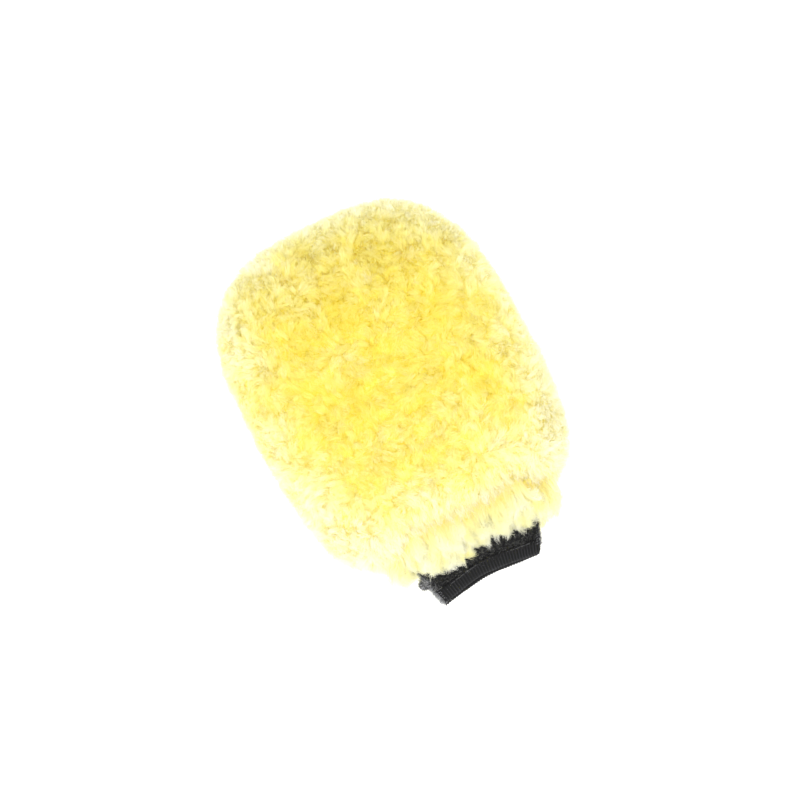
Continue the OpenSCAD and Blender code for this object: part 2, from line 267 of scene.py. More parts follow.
def even_rises(exponent, steps, width=110, height=37):
    """Rises up a crown of these proportions at even steps along its curve, from its top to its
    rim, as shares of the whole rise."""
    rise = np.linspace(math.pi / 2, 0, 2000)
    u, z = width * np.cos(rise) ** (2 / exponent), height * np.sin(rise)
    length = np.append(0, np.cumsum(np.hypot(np.diff(u), np.diff(z))))
    wanted = np.linspace(0, 1, steps + 1)[1:] * length[-1]
    return 1 - np.interp(wanted, length, rise) / (math.pi / 2)


def crown_rows(shell, side, mouth_rim, steps, turns):
    """Rings of points over a crown, from near its top to its rim, as an array of rows."""
    rim = HALF_PARTING + (mouth_rim - HALF_PARTING) * mouth_share(shell, turns)
    low = np.arcsin(rim / shell[3])
    share = even_rises(shell[5], steps)[:, None]
    rise = low + (math.pi / 2 - low) * (1 - share)
    r = reach(shell, turns) * np.cos(rise) ** (2 / shell[5])
    z = PLANE_Z + side * shell[3] * np.sin(rise)
    return np.stack([r * np.cos(turns), BODY_Y + r * np.sin(turns), z], -1)


def inset(shell, d, dh):
    return (shell[0] - d, shell[1] - d, shell[2] - d, shell[3] - dh, shell[4], shell[5])


def rows_normal(rows, side, passes=3):
    """Smoothed outward directions at each point of a stack of rings."""
    along = np.gradient(rows, axis=0)
    around = np.roll(rows, -1, 1) - np.roll(rows, 1, 1)
    normal = unit(np.cross(around, along)) * -side
    for _ in range(passes):
        ends = np.concatenate([normal[:1], normal, normal[-1:]])
        beside = np.roll(normal, 1, 1) + np.roll(normal, -1, 1)
        normal = unit(ends[:-2] + ends[2:] + normal * 2 + beside)
    return normal


# ---------------------------------------------------------------- fibres

SEGMENTS = 4


def ribbons(paths, widths, facing):
    """Flat fibres along paths (count, points, 3), with widths at each point, as points and quads."""
    count, steps, _ = paths.shape
    tangent = unit(np.gradient(paths, axis=1))
    across = unit(np.cross(tangent, facing[:, None, :]))
    edge = across * widths[..., None] / 2
    points = np.stack([paths - edge, paths + edge], 2).reshape(-1, 3)
    i, j = np.meshgrid(np.arange(count), np.arange(steps - 1), indexing="ij")
    a = (i * steps + j) * 2
    return points, np.stack([a, a + 1, a + 3, a + 2], -1).reshape(-1, 4)


def ribbon_uvs(tone, steps):
    """u is a fibre's tone and v runs from its root to its tip."""
    i = np.linspace(0, 1, steps)
    u0 = np.repeat(tone[:, None], steps - 1, 1)
    u1 = u0 + 0.012
    v0, v1 = np.broadcast_to(i[:-1], u0.shape), np.broadcast_to(i[1:], u0.shape)
    return np.stack([u0, v0, u1, v0, u1, v1, u0, v1], -1).reshape(-1, 2)


def fibre_object(name, fibres, material):
    paths, widths, facing, tone = fibres
    points, faces = ribbons(paths, widths, facing)
    tone = np.clip(tone, 0.01, 0.97)
    return mesh_object(name, points, [faces], ribbon_uvs(tone, paths.shape[1]), material)


def some(fibres, which):
    return tuple(part[which] for part in fibres)


def sample_rows(rows, normal, weight, count, rng):
    """Random points spread evenly over a grid surface, with their directions."""
    a, b = rows[:-1], np.roll(rows, -1, 1)[:-1]
    c, d = np.roll(rows, -1, 1)[1:], rows[1:]
    area = np.linalg.norm(np.cross(c - a, d - b), axis=-1) * weight
    pick = rng.choice(area.size, count, p=(area / area.sum()).ravel())
    i, j = np.unravel_index(pick, area.shape)
    k = (j + 1) % rows.shape[1]
    s, t = rng.random((2, count, 1))

    def at(grid):
        low = grid[i, j] * (1 - t) + grid[i, k] * t
        return low * (1 - s) + (grid[i + 1, j] * (1 - t) + grid[i + 1, k] * t) * s

    return at(rows), unit(at(normal))


def curled_paths(root, heading, length, bend, axes, curl, phase, turns, steps=SEGMENTS):
    """Paths that leave root along heading, lie over sideways and wind round as they go."""
    paths = np.empty((len(root), steps + 1, 3))
    for n, q in enumerate(np.linspace(0, 1, steps + 1)):
        angle = (phase + turns * TAU * q)[:, None]
        swing = axes[0] * np.cos(angle) + axes[1] * np.sin(angle)
        ahead = heading * (length * math.sin(q * math.pi / 2) ** 0.9)[:, None]
        paths[:, n] = root + ahead + bend * q**1.7 + swing * (curl * q**1.1)[:, None]
    return paths


# ---------------------------------------------------------------- materials


def new_material(name, rough, specular=0.3, sheen=0.0):
    material = bpy.data.materials.new(name)
    material.use_nodes = True
    nodes = material.node_tree.nodes
    shader = nodes["Principled BSDF"]
    shader.inputs["Roughness"].default_value = rough
    shader.inputs["Specular IOR Level"].default_value = specular
    shader.inputs["Sheen Weight"].default_value = sheen
    return material, nodes, material.node_tree.links, shader


def ramp(nodes, stops):
    node = nodes.new("ShaderNodeValToRGB")
    elements = node.color_ramp.elements
    while len(elements) < len(stops):
        elements.new(0.5)
    for element, (place, colour) in zip(elements, stops):
        element.position = place
        element.color = (*colour, 1)
    return node


def fibre_material(name, deep, pale, rough=0.9, specular=0.1, through=0.0):
    """Colour by a fibre's tone (u) and by the way from root to tip (v), lit through in part."""
    material, nodes, links, shader = new_material(name, rough, specular)
    uv = nodes.new("ShaderNodeUVMap")
    uv.uv_map = "OFBake"
    split = nodes.new("ShaderNodeSeparateXYZ")
    links.new(uv.outputs[0], split.inputs[0])
    low, high = ramp(nodes, deep), ramp(nodes, pale)
    mix = nodes.new("ShaderNodeMix")
    mix.data_type = "RGBA"
    links.new(split.outputs["Y"], low.inputs[0])
    links.new(split.outputs["Y"], high.inputs[0])
    links.new(split.outputs["X"], mix.inputs["Factor"])
    links.new(low.outputs[0], mix.inputs["A"])
    links.new(high.outputs[0], mix.inputs["B"])
    links.new(mix.outputs["Result"], shader.inputs["Base Color"])
    if through:
        glow = nodes.new("ShaderNodeBsdfTranslucent")
        both = nodes.new("ShaderNodeMixShader")
        both.inputs["Fac"].default_value = through
        links.new(mix.outputs["Result"], glow.inputs["Color"])
        links.new(shader.outputs[0], both.inputs[1])
        links.new(glow.outputs[0], both.inputs[2])
        links.new(both.outputs[0], nodes["Material Output"].inputs["Surface"])
    return material


def cloth_material(name, dark, light, grain, rough=0.9, bump=0.3, sheen=0.0, weave=None):
    """Cloth with mottled colour, a fine grain of bumps and, where weave is a pitch, its threads."""
    material, nodes, links, shader = new_material(name, rough, 0.2, sheen)
    place = nodes.new("ShaderNodeTexCoord")
    mottle = nodes.new("ShaderNodeTexNoise")
    mottle.inputs["Scale"].default_value = 1 / (grain * 6)
    mottle.inputs["Detail"].default_value = 6
    links.new(place.outputs["Object"], mottle.inputs["Vector"])
    colours = ramp(nodes, [(0.3, dark), (0.7, light)])
    links.new(mottle.outputs["Fac"], colours.inputs[0])
    links.new(colours.outputs[0], shader.inputs["Base Color"])
    height = nodes.new("ShaderNodeTexNoise")
    height.inputs["Scale"].default_value = 1 / grain
    height.inputs["Detail"].default_value = 3
    links.new(place.outputs["Object"], height.inputs["Vector"])
    relief = height.outputs["Fac"]
    if weave:
        for axis in "XY":
            threads = nodes.new("ShaderNodeTexWave")
            threads.bands_direction = axis
            threads.inputs["Scale"].default_value = 1 / weave / math.pi
            threads.inputs["Distortion"].default_value = 1.5
            links.new(place.outputs["Object"], threads.inputs["Vector"])
            add = nodes.new("ShaderNodeMath")
            links.new(relief, add.inputs[0])
            links.new(threads.outputs["Fac"], add.inputs[1])
            relief = add.outputs[0]
    bumps = nodes.new("ShaderNodeBump")
    bumps.inputs["Strength"].default_value = bump
    bumps.inputs["Distance"].default_value = grain * 0.6
    links.new(relief, bumps.inputs["Height"])
    links.new(bumps.outputs[0], shader.inputs["Normal"])
    return material


def thread_material(name, dark, light):
    """Twisted thread: slanting strands and a mottled colour."""
    material, nodes, links, shader = new_material(name, 0.6, 0.35, 0.2)
    place = nodes.new("ShaderNodeTexCoord")
    twist = nodes.new("ShaderNodeTexWave")
    twist.bands_direction = "DIAGONAL"
    twist.inputs["Scale"].default_value = 900
    twist.inputs["Distortion"].default_value = 2
    links.new(place.outputs["Object"], twist.inputs["Vector"])
    colours = ramp(nodes, [(0.1, dark), (0.8, light)])
    links.new(twist.outputs["Fac"], colours.inputs[0])
    links.new(colours.outputs[0], shader.inputs["Base Color"])
    bumps = nodes.new("ShaderNodeBump")
    bumps.inputs["Strength"].default_value = 0.4
    bumps.inputs["Distance"].default_value = 0.1 * MM
    links.new(twist.outputs["Fac"], bumps.inputs["Height"])
    links.new(bumps.outputs[0], shader.inputs["Normal"])
    return material


# Both wool ramps run deeper yellow at the root than at the tip: the deeper roots are painted shade, the
# yellow seen down in the valleys, and the undercoat seen between the locks is painted the same deep
# yellow
WOOL = fibre_material(
    "wool_fibre",
    deep=[(0, (0.940, 0.83, 0.14)), (0.5, (0.955, 0.90, 0.24)), (1, (0.965, 0.935, 0.35))],
    pale=[(0, (0.955, 0.89, 0.30)), (0.45, (0.970, 0.960, 0.78)), (1, (0.980, 0.980, 0.94))],
    through=0.65,
)
UNDERCOAT = cloth_material(
    "wool_undercoat", (0.94, 0.85, 0.20), (0.96, 0.91, 0.32), 1.2 * MM, rough=0.95, bump=0.8
)
HIDE = cloth_material(
    "backing_cloth", (0.66, 0.58, 0.42), (0.80, 0.73, 0.57), 0.5 * MM, bump=0.35, weave=1.0 * MM
)
LINING = cloth_material(
    "lining_cloth", (0.52, 0.52, 0.50), (0.70, 0.70, 0.67), 0.5 * MM, bump=0.4, weave=0.9 * MM
)
KNIT = cloth_material(
    "cuff_knit", (0.009, 0.009, 0.010), (0.030, 0.031, 0.034), 0.8 * MM, bump=0.9, sheen=0.15
)
# Ribbed band: u is the rib's height and v runs round the fold; lighter on the rib tops and round the
# fold is painted highlight, against painted shade in the grooves
BAND = fibre_material(
    "ribbed_band",
    deep=[(0, (0.002, 0.002, 0.002)), (0.5, (0.004, 0.004, 0.004)), (1, (0.002, 0.002, 0.002))],
    pale=[(0, (0.014, 0.014, 0.016)), (0.5, (0.029, 0.030, 0.033)), (1, (0.014, 0.014, 0.016))],
    rough=0.75,
    specular=0.25,
)
# Cuff fuzz: the paler tone and the lighter tips are painted highlight on the black loops
FUZZ = fibre_material(
    "cuff_fuzz",
    deep=[(0, (0.004, 0.004, 0.005)), (1, (0.012, 0.012, 0.013))],
    pale=[(0, (0.060, 0.060, 0.056)), (1, (0.230, 0.232, 0.222))],
    rough=0.85,
)
FRAY = fibre_material(
    "overlock_fibre",
    deep=[(0, (0.020, 0.020, 0.022)), (1, (0.090, 0.090, 0.095))],
    pale=[(0, (0.160, 0.160, 0.165)), (1, (0.560, 0.565, 0.575))],
    rough=0.8,
)

# ---------------------------------------------------------------- wool

TURN_COUNT = 300
CROWN_STEPS = 60
FLARE_STEPS = 10
PILE_DEPTH = 9 * MM
CORE_DEPTH, CORE_T = 4.8 * MM, 3 * MM
RIPPLE, RIPPLE_SIZE = 0.7 * MM, 9 * MM
TUFT_GAP, LOCK_GAP = 6.0 * MM, 2.4 * MM
TUFT_LEAN, LOCK_LEAN = 5.0 * MM, 1.0 * MM
TUFT_UNEVEN = 0.3 * MM
VALLEY_DROP = 1.1 * MM
SWELL, SWELL_SIZE = 0.3 * MM, 20 * MM
FLOW_SIZE = 22 * MM
FLYAWAY_SHARE = 0.08
LEAST_DROP = -8.0 * MM
FIBRE_ROOT_W, FIBRE_TIP_W = 0.42 * MM, 0.15 * MM

# Where the wool stands higher: the parts painted pale for edge light, the two corners beside the mouth,
# and the tip
PALE_RISE = 0.3 * MM
SHOULDER_X, SHOULDER_Y, SHOULDER_R = 88 * MM, -83 * MM, 22 * MM
SHOULDER_RISE = 3.5 * MM
TIP_RISE, TIP_FROM, TIP_OVER = 1.6 * MM, 40 * MM, 60 * MM

# How pale the wool is painted, as painted light for its brighter-lit edge and mouth: from where on
# towards the edge, and how far back from the mouth
PALE_FROM, PALE_OVER, PALE_MOUTH = 0.5, 0.46, 85 * MM


def pile_surface(shell, side):
    """Rings over the crown and on down the flared mouth, with smooth outward directions."""
    turns = np.linspace(0, TAU, TURN_COUNT, endpoint=False) - math.pi / 2
    crown = crown_rows(shell, side, FLARE_RIM, CROWN_STEPS, turns)
    inner = crown_rows(inset(SKIN, -PLY_GAP, -PLY_GAP), side, MOUTH_RIM, 1, turns)[0]
    crown[..., 2] = np.maximum(crown[..., 2], 0)
    steps = np.linspace(0, 1, FLARE_STEPS + 1)[1:, None, None]
    flare = crown[-1] * (1 - steps) + inner * steps
    normal = np.concatenate([rows_normal(crown, side), rows_normal(flare, side)])
    core = crown - normal[:CROWN_STEPS] * CORE_DEPTH
    core = np.concatenate([core, core[-1] * (1 - steps) + inner * steps])
    return turns, np.concatenate([crown, flare]), normal, core


def painted_edge_light(points):
    """Painted light: how much paler the wool is painted where it is more brightly lit, 0 over the
    middle of the mitt, more at its edge and its mouth.
    """
    turn = np.arctan2(points[..., 1] - BODY_Y, points[..., 0])
    share = np.hypot(points[..., 0], points[..., 1] - BODY_Y) / reach(WOOL_UP, turn)
    edge = np.clip((share - PALE_FROM) / PALE_OVER, 0, 1) ** 1.6
    mouth = np.clip(-points[..., 1] / PALE_MOUTH, 0, 1)
    return np.minimum(0.78 * edge + 0.42 * mouth, 1)


def shoulder(points):
    """1 at the two full corners beside the mouth, falling to 0 around them."""
    x = (np.abs(points[..., 0]) - SHOULDER_X) / SHOULDER_R
    y = (points[..., 1] - SHOULDER_Y) / SHOULDER_R
    return np.exp(-x * x - y * y)


def near_mouth(points):
    """1 beside the mouth, where the pile lies out over the cuff, and 0 away from it."""
    near = smooth((BODY_Y - 78 * MM - points[:, 1]) / (36 * MM))
    return near * smooth((84 * MM - np.abs(points[:, 0])) / (28 * MM))


def lying(points, out, amount, seed, rng):
    """Which way and how far the pile lies over at each point, along the surface."""
    flow = np.stack([waves(points, FLOW_SIZE, seed + n) for n in range(3)], -1)
    way = unit(rng.normal(size=(len(points), 3))) + flow * 0.6
    way = way + np.array([0, -4.5, 0]) * near_mouth(points)[:, None]
    way = unit(way - out * np.sum(way * out, 1)[:, None])
    return way * (amount * rng.uniform(0.6, 1.25, len(points)))[:, None]


def lock_shapes(tufts, tufts_out, locks, seed, rng):
    """How each lock stands: its drop below the pile surface, lean, curl and tone. Tufts have
    rounded tops with valleys between them, and each lies its own way."""
    two, apart = nearest(tufts, locks, 2)
    own, crest = two[:, 0], (apart[:, 1] - apart[:, 0]) / apart.sum(1)
    crest = smooth(crest * 1.7)
    uneven = rng.normal(size=len(tufts)) * TUFT_UNEVEN
    tuft_lean = lying(tufts, tufts_out, TUFT_LEAN, seed + 5, rng)
    tuft_tone = rng.normal(size=len(tufts))
    swell = waves(locks, SWELL_SIZE, seed + 1)
    drop = (1 - crest) * VALLEY_DROP - uneven[own] - swell * SWELL
    drop -= PALE_RISE * painted_edge_light(locks) + SHOULDER_RISE * shoulder(locks)
    drop -= TIP_RISE * smooth((locks[:, 1] - TIP_FROM) / TIP_OVER)
    count = len(locks)
    lean = tuft_lean[own] + rng.normal(size=(count, 3)) * LOCK_LEAN
    lean = lean + (locks - tufts[own]) * 0.25
    phase = rng.uniform(0, TAU, count)
    turns = rng.uniform(0.7, 1.5, count)
    curl = rng.uniform(0.5, 1.3, count) * MM
    # Tone: random from tuft to tuft and lock to lock, plus painted highlight on the swells and the
    # tufts' crests and painted shade in the valleys between them
    tone = 0.07 * tuft_tone[own] + 0.02 * rng.normal(size=count)
    tone += 0.10 * swell + 0.26 * (crest - 0.6)
    return drop, lean, phase, turns, curl, tone


def wool_fibres(rows, normal, weight, count, seed):
    """Curled fibres gathered into locks and the locks into tufts, out to the pile surface."""
    rng = np.random.default_rng(seed)
    spots, spots_out = sample_rows(rows, normal, weight, count // 6, rng)
    kept = thin_out(spots, TUFT_GAP)
    tufts, tufts_out = spots[kept], spots_out[kept]
    spots, spots_out = sample_rows(rows, normal, weight, count // 2, rng)
    kept = thin_out(spots, LOCK_GAP)
    locks, locks_out = spots[kept], spots_out[kept]
    tips, out = sample_rows(rows, normal, weight, count, rng)
    drop, lean, phase, turns, curl, lock_tone_and_painted_light = lock_shapes(tufts, tufts_out, locks, seed, rng)
    first, second = tangents(locks_out)

    # Each fibre belongs to the nearest lock and draws in towards it
    own = nearest(locks, tips)[0][:, 0]
    flyaway = rng.random(count) < FLYAWAY_SHARE
    lower = np.maximum(drop[own], LEAST_DROP) + np.abs(rng.normal(size=count)) * 0.7 * MM
    lower = np.where(flyaway, lower - rng.uniform(0.8, 4.5, count) * MM, lower)
    gather = (locks[own] - tips) * rng.uniform(0.1, 0.5, count)[:, None]
    stray = rng.normal(size=(count, 3)) * np.where(flyaway, 1.8, 0.9)[:, None] * MM
    paths = curled_paths(
        tips - out * PILE_DEPTH - lean[own] * 0.4,
        unit(out * 0.7 + locks_out[own] * 0.3),
        PILE_DEPTH - lower,
        lean[own] * rng.uniform(0.75, 1.3, (count, 1)) + gather + stray,
        (first[own], second[own]),
        curl[own] * rng.uniform(0.7, 1.3, count),
        phase[own] + rng.normal(size=count) * 0.8,
        turns[own] * rng.uniform(0.85, 1.15, count),
    )
    above_floor = rng.uniform(0.1, 0.9, (count, 1)) * MM
    paths[..., 2] = np.maximum(paths[..., 2], above_floor)
    taper = np.linspace(FIBRE_ROOT_W, FIBRE_TIP_W, SEGMENTS + 1)[None, :]
    widths = taper * rng.uniform(0.75, 1.25, (count, 1)) * np.where(flyaway, 0.55, 1)[:, None]
    facing = unit(out + 0.2 * rng.normal(size=(count, 3)))
    # Tone: painted edge light at the mitt's edge and mouth, the locks' own tone with its painted
    # highlight and shade, and random tone from fibre to fibre
    tone = 0.18 + 0.86 * painted_edge_light(tips) + lock_tone_and_painted_light[own] + 0.03 * rng.normal(size=count)
    return paths, widths, facing, tone


def wool_half(name, node, shell, side, count, pieces, seed):
    """One panel's wool: a soft core that stands for the CAD's solid, and its fibres in pieces."""
    turns, rows, normal, core_rows = pile_surface(shell, side)
    weight = np.ones((len(rows) - 1, len(turns)))
    weight[CROWN_STEPS - 1 :] = (mouth_share(shell, turns) > 0.5)[None, :]
    ripple = waves(rows, RIPPLE_SIZE, seed + 3)[..., None] * RIPPLE
    core_rows[:-FLARE_STEPS] -= normal[:-FLARE_STEPS] * ripple[:-FLARE_STEPS]
    inner = core_rows - normal * CORE_T
    core = closed_shell(name + "_undercoat", core_rows, inner, side > 0, UNDERCOAT)
    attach(core, "mitt")
    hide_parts(node)
    fibres = wool_fibres(rows, normal, weight, count, seed)
    turn = np.arctan2(fibres[0][:, 0, 1] - BODY_Y, fibres[0][:, 0, 0])
    for n, part in enumerate(np.array_split(np.argsort(turn), pieces)):
        tufts = fibre_object(f"{name}_tufts_{n + 1}", some(fibres, part), WOOL)
        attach(tufts, "mitt")


wool_half("top_wool", "top_fleece", WOOL_UP, 1, 160000, 8, 11)
wool_half("bottom_wool", "bottom_fleece", WOOL_DOWN, -1, 75000, 4, 12)

# ---------------------------------------------------------------- backing and lining

SEAM_ALLOW = 6 * MM
LINING_ALLOW = 1 * MM
MOUTH_LIP = 1.2 * MM
LINING_ROOM = 8.8 * MM
WRINKLE, WRINKLE_SIZE = 1.4 * MM, 7 * MM
CLOTH_STEPS = 34


def dome_rows(shell, side, mouth_rim, sewn_rim, edge_in):
    """Rings of a dome of cloth with its sewn edge turned in flat by `edge_in`."""
    turns = np.linspace(0, TAU, TURN_COUNT, endpoint=False) - math.pi / 2
    share = mouth_share(SKIN, turns)
    rim = sewn_rim + (mouth_rim - sewn_rim) * share
    low = np.arcsin(rim / shell[3])
    rise = low + (math.pi / 2 - low) * (1 - even_rises(shell[5], CLOTH_STEPS)[:, None])
    far = reach(shell, turns)
    turned = far * np.cos(low) ** (2 / shell[5]) - (edge_in * (1 - share) + MOUTH_LIP * share)
    r = np.concatenate([far * np.cos(rise) ** (2 / shell[5]), turned[None]])
    up = np.concatenate([shell[3] * np.sin(rise), rim[None]])
    return np.stack([r * np.cos(turns), BODY_Y + r * np.sin(turns), PLANE_Z + side * up], -1)


def cloth_half(name, node, shell, side, mouth_rim, thick, edge_in, wrinkle, material, seed):
    """Half of the backing or of the lining: a thin dome of cloth with soft wrinkles."""
    outer = dome_rows(shell, side, mouth_rim, HALF_PARTING, edge_in)
    core = dome_rows(inset(shell, thick, thick), side, mouth_rim - thick, HALF_PARTING + thick, edge_in)
    core[-1, :, :2] = outer[-1, :, :2]
    fold = waves(outer * [1, 0.35, 1], WRINKLE_SIZE, seed) * 0.5 + 0.5
    calm = np.linspace(1, 0, len(outer))[:, None] ** 0.5
    sink = rows_normal(outer, side) * (np.clip(fold, 0, 1) * calm * wrinkle)[..., None]
    cloth = closed_shell(name, outer - sink, core - sink, side > 0, material)
    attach(cloth, "mitt")
    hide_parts(node)
    return cloth


LINING_SHELL = inset(SKIN, LINING_ROOM, SKIN_T + PLY_GAP)
LINING_MOUTH = MOUTH_RIM - 2 * PLY_GAP - SKIN_T
for word, side in HALVES:
    backing = cloth_half(
        f"{word}_backing_cloth", f"{word}_backing", SKIN, side, MOUTH_RIM - PLY_GAP, SKIN_T,
        SEAM_ALLOW, 0.0, HIDE, 31,
    )
    lining = cloth_half(
        f"{word}_lining_cloth", f"{word}_lining", LINING_SHELL, side, LINING_MOUTH, LINING_T,
        LINING_ALLOW, WRINKLE, LINING, 32 + side,
    )

# ---------------------------------------------------------------- cuff

CUFF_REACH = 6.5 * MM
CORNER_R = 4 * MM
HEM_SKEW = 2.0 * MM
ROOT_FLARE = 1.6 * MM
SWAY = 0.5 * MM
HEM_LEAN = 0.15
HEM_BEND = 0.12
LOWER_SHOW = 1.0 * MM


def cuff_half_w(t):
    """Half the cuff's width, t of the way from its root to its hem."""
    return CUFF_ROOT_HALF_W - (CUFF_ROOT_HALF_W - CUFF_HEM_HALF_W) * np.maximum(t, 0) ** 1.4


def fold_y(s):
    """The hem's line: bent softly left of its middle, rounded at the right corner."""
    corner = np.clip((s - 1) * CUFF_HEM_HALF_W / CORNER_R + 1, 0, 1)
    share = np.hypot(s + HEM_LEAN * (1 - s * s), HEM_BEND) / math.hypot(1, HEM_BEND)
    return HEM_Y + HEM_DIP * (1 - share**1.2) + CORNER_R * (1 - np.sqrt(1 - corner**2 * 0.98))


def panel_end_y(s):
    return fold_y(s) + BAND_T + FOLD_GAP


def panel_y(s, t):
    """Place along the mitt: s runs across from -1 to 1, t from the root to the panel's end."""
    return ROOT_Y + (panel_end_y(s) - ROOT_Y) * t


def t_at(s, y):
    return (ROOT_Y - y) / (ROOT_Y - panel_end_y(s))


def panel_in(s, t):
    """Height of a panel's inner face above the hand plane: flat sewn sides, arched between them."""
    side_z = HALF_PARTING + (BAND_T + 2 * FOLD_GAP) * smooth((t - 0.3) / 0.38)
    arch_s = 1 - CUFF_SIDE_W / cuff_half_w(t)
    arch = np.maximum(0, 1 - (np.abs(s) / arch_s) ** 2.2)
    flare = smooth(-t / 0.16) * ROOT_FLARE
    return side_z + (CUFF_OPEN_HALF_H - side_z + flare) * arch


def cuff_at(s, t, up, side):
    """A point of one ply, `up` above that ply's inner face."""
    x = s * cuff_half_w(t) - HEM_SKEW * np.clip(t, 0, 1) ** 2
    sway = SWAY * np.sin(s * 4.2 + 0.8) * smooth(t / 0.7)
    z = PLANE_Z + side * (panel_in(s, t) + up) + sway
    longer = LOWER_SHOW * smooth((0.3 - s) / 0.8) * np.clip(t, 0, 1) ** 2 * (side < 0)
    return np.stack(np.broadcast_arrays(x, panel_y(s, t) - longer, z), -1)


def on_cuff(obj, blended=True):
    """Bake a piece's placement into its mesh and leave it on no body, or let it follow the cuff."""
    if blended:
        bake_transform(obj)
    else:
        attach(obj, "cuff")


ROOT_T = -CUFF_REACH / (ROOT_Y - HEM_Y)
PANEL_COLS, PANEL_ROWS = 130, 60
KNIT_LOOP, KNIT_LOOP_SIZE = 0.14 * MM, 1.6 * MM
KNIT_LUMP, KNIT_LUMP_SIZE = 0.15 * MM, 6 * MM


def cuff_panel(name, node, side, seed):
    """One ply of the cuff, its face raised in small loops and lumps."""
    s, t = np.meshgrid(np.linspace(-1, 1, PANEL_COLS), np.linspace(ROOT_T, 1, PANEL_ROWS))
    grid = cuff_at(s, t, 0, side)
    loops = waves(grid, KNIT_LOOP_SIZE, seed, 30) * KNIT_LOOP
    loops = loops + waves(grid, KNIT_LUMP_SIZE, seed + 1) * KNIT_LUMP
    calm = np.clip((1 - np.abs(s)) * 8, 0, 1)
    face = cuff_at(s, t, CUFF_T - 0.15 * MM + loops * calm, side)
    panel = closed_cloth(name, face, grid, side > 0, KNIT)
    on_cuff(panel)
    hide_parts(node)
    return panel


RIB_PITCH = 2.0 * MM
RIB_COLS = 6
RIB_DEPTH = 0.75 * MM


def band_path(s, lift, fold_r, side, steps=6):
    """Points round the folded band at each place across the hem: outer leg, fold, inner leg."""
    t0 = t_at(s, fold_y(s) + BAND_W)
    legs = np.linspace(0, 1, steps)
    half = CUFF_T / 2 + FOLD_GAP + lift
    out_leg = [cuff_at(s, t0 + (1 - t0) * q, CUFF_T + FOLD_GAP + lift, side) for q in legs]
    end = cuff_at(s, np.ones_like(s), CUFF_T / 2, side)
    fold = []
    for angle in np.linspace(math.pi / 2, -math.pi / 2, steps + 1)[1:-1]:
        step = np.zeros_like(end)
        step[..., 1] = -fold_r * math.cos(angle)
        step[..., 2] = side * half * math.sin(angle)
        fold.append(end + step)
    in_leg = [cuff_at(s, t0 + (1 - t0) * q, -FOLD_GAP - lift, side) for q in legs[::-1]]
    return np.array(out_leg + fold + in_leg)


def hem_band(name, node, side):
    """The ribbed binding: its ribs stand out on the outer leg and fade round the fold."""
    count = int(2 * CUFF_HEM_HALF_W / RIB_PITCH) * RIB_COLS
    s = np.linspace(-1, 1, count + 1)
    outer = band_path(s, BAND_T - 0.2 * MM, BAND_T + FOLD_GAP, side)
    inner = band_path(s, 0, FOLD_GAP, side)
    rib = 0.5 + 0.5 * np.cos(np.arange(count + 1) * TAU / RIB_COLS)
    rib = rib * (0.85 + 0.3 * np.random.default_rng(8).random(count + 1))
    wear_and_rib_highlight = 0.72 + 0.28 * waves(outer, 7 * MM, 7)
    share = np.clip(np.linspace(3.2, -1.5, len(outer)), 0, 1)[:, None]
    push = unit(outer - inner) * ((rib**0.7)[None] * share * wear_and_rib_highlight * RIB_DEPTH)[..., None]
    # The band's tone rises with the rib's height: painted highlight on the rib tops, painted shade in
    # the grooves
    height = np.clip((rib**2 * 0.9 + 0.03) * np.maximum(share, 0.25) * wear_and_rib_highlight, 0, 0.97)
    along = np.broadcast_to(np.linspace(0, 1, len(outer))[:, None], outer.shape[:2])
    band = closed_cloth(name, outer + push, inner, side < 0, BAND, (height, along))
    on_cuff(band, blended=False)
    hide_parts(node)
    return band


def fuzz(name, side, count, seed):
    """Curled loops of the knit's fuzzy face."""
    rng = np.random.default_rng(seed)
    s = rng.uniform(-0.99, 0.99, count)
    reach_t = t_at(s, fold_y(s) + BAND_W) + 0.03
    t = ROOT_T * 0.6 + (reach_t - ROOT_T * 0.6) * rng.random(count)
    root = cuff_at(s, t, CUFF_T - 0.3 * MM, side)
    step = 0.01
    along_s = cuff_at(s + step, t, CUFF_T, side) - cuff_at(s - step, t, CUFF_T, side)
    along_t = cuff_at(s, t + step, CUFF_T, side) - cuff_at(s, t - step, CUFF_T, side)
    out = unit(np.cross(along_t, along_s)) * side
    first, second = unit(along_s), unit(along_t)
    knot = waves(root, 1.9 * MM, seed + 1, 24)
    turn = rng.uniform(0, TAU, count)[:, None]
    sideways = first * np.cos(turn) + second * np.sin(turn)
    length = rng.uniform(1.0, 2.0, count) * MM * (1 + 0.25 * knot)
    paths = curled_paths(
        root,
        unit(out + sideways * 0.7),
        length,
        sideways * rng.uniform(0.5, 2.4, (count, 1)) * MM,
        (first, out),
        rng.uniform(0.35, 0.9, count) * MM,
        rng.uniform(0, TAU, count),
        rng.uniform(0.8, 1.8, count),
    )
    widths = np.linspace(0.34, 0.2, SEGMENTS + 1)[None] * MM * rng.uniform(0.7, 1.3, (count, 1))
    facing = unit(out + 0.7 * rng.normal(size=(count, 3)))
    # Tone: paler where the loops grow longer, and about one loop in eight pale grey: painted highlight
    # on the black loops, with random tone
    tone = 0.12 + 0.20 * knot + 0.08 * rng.normal(size=count)
    tone = tone + np.where(rng.random(count) < 0.12, 0.6, 0)
    loops = fibre_object(name, (paths, widths, facing, tone), FUZZ)
    on_cuff(loops)


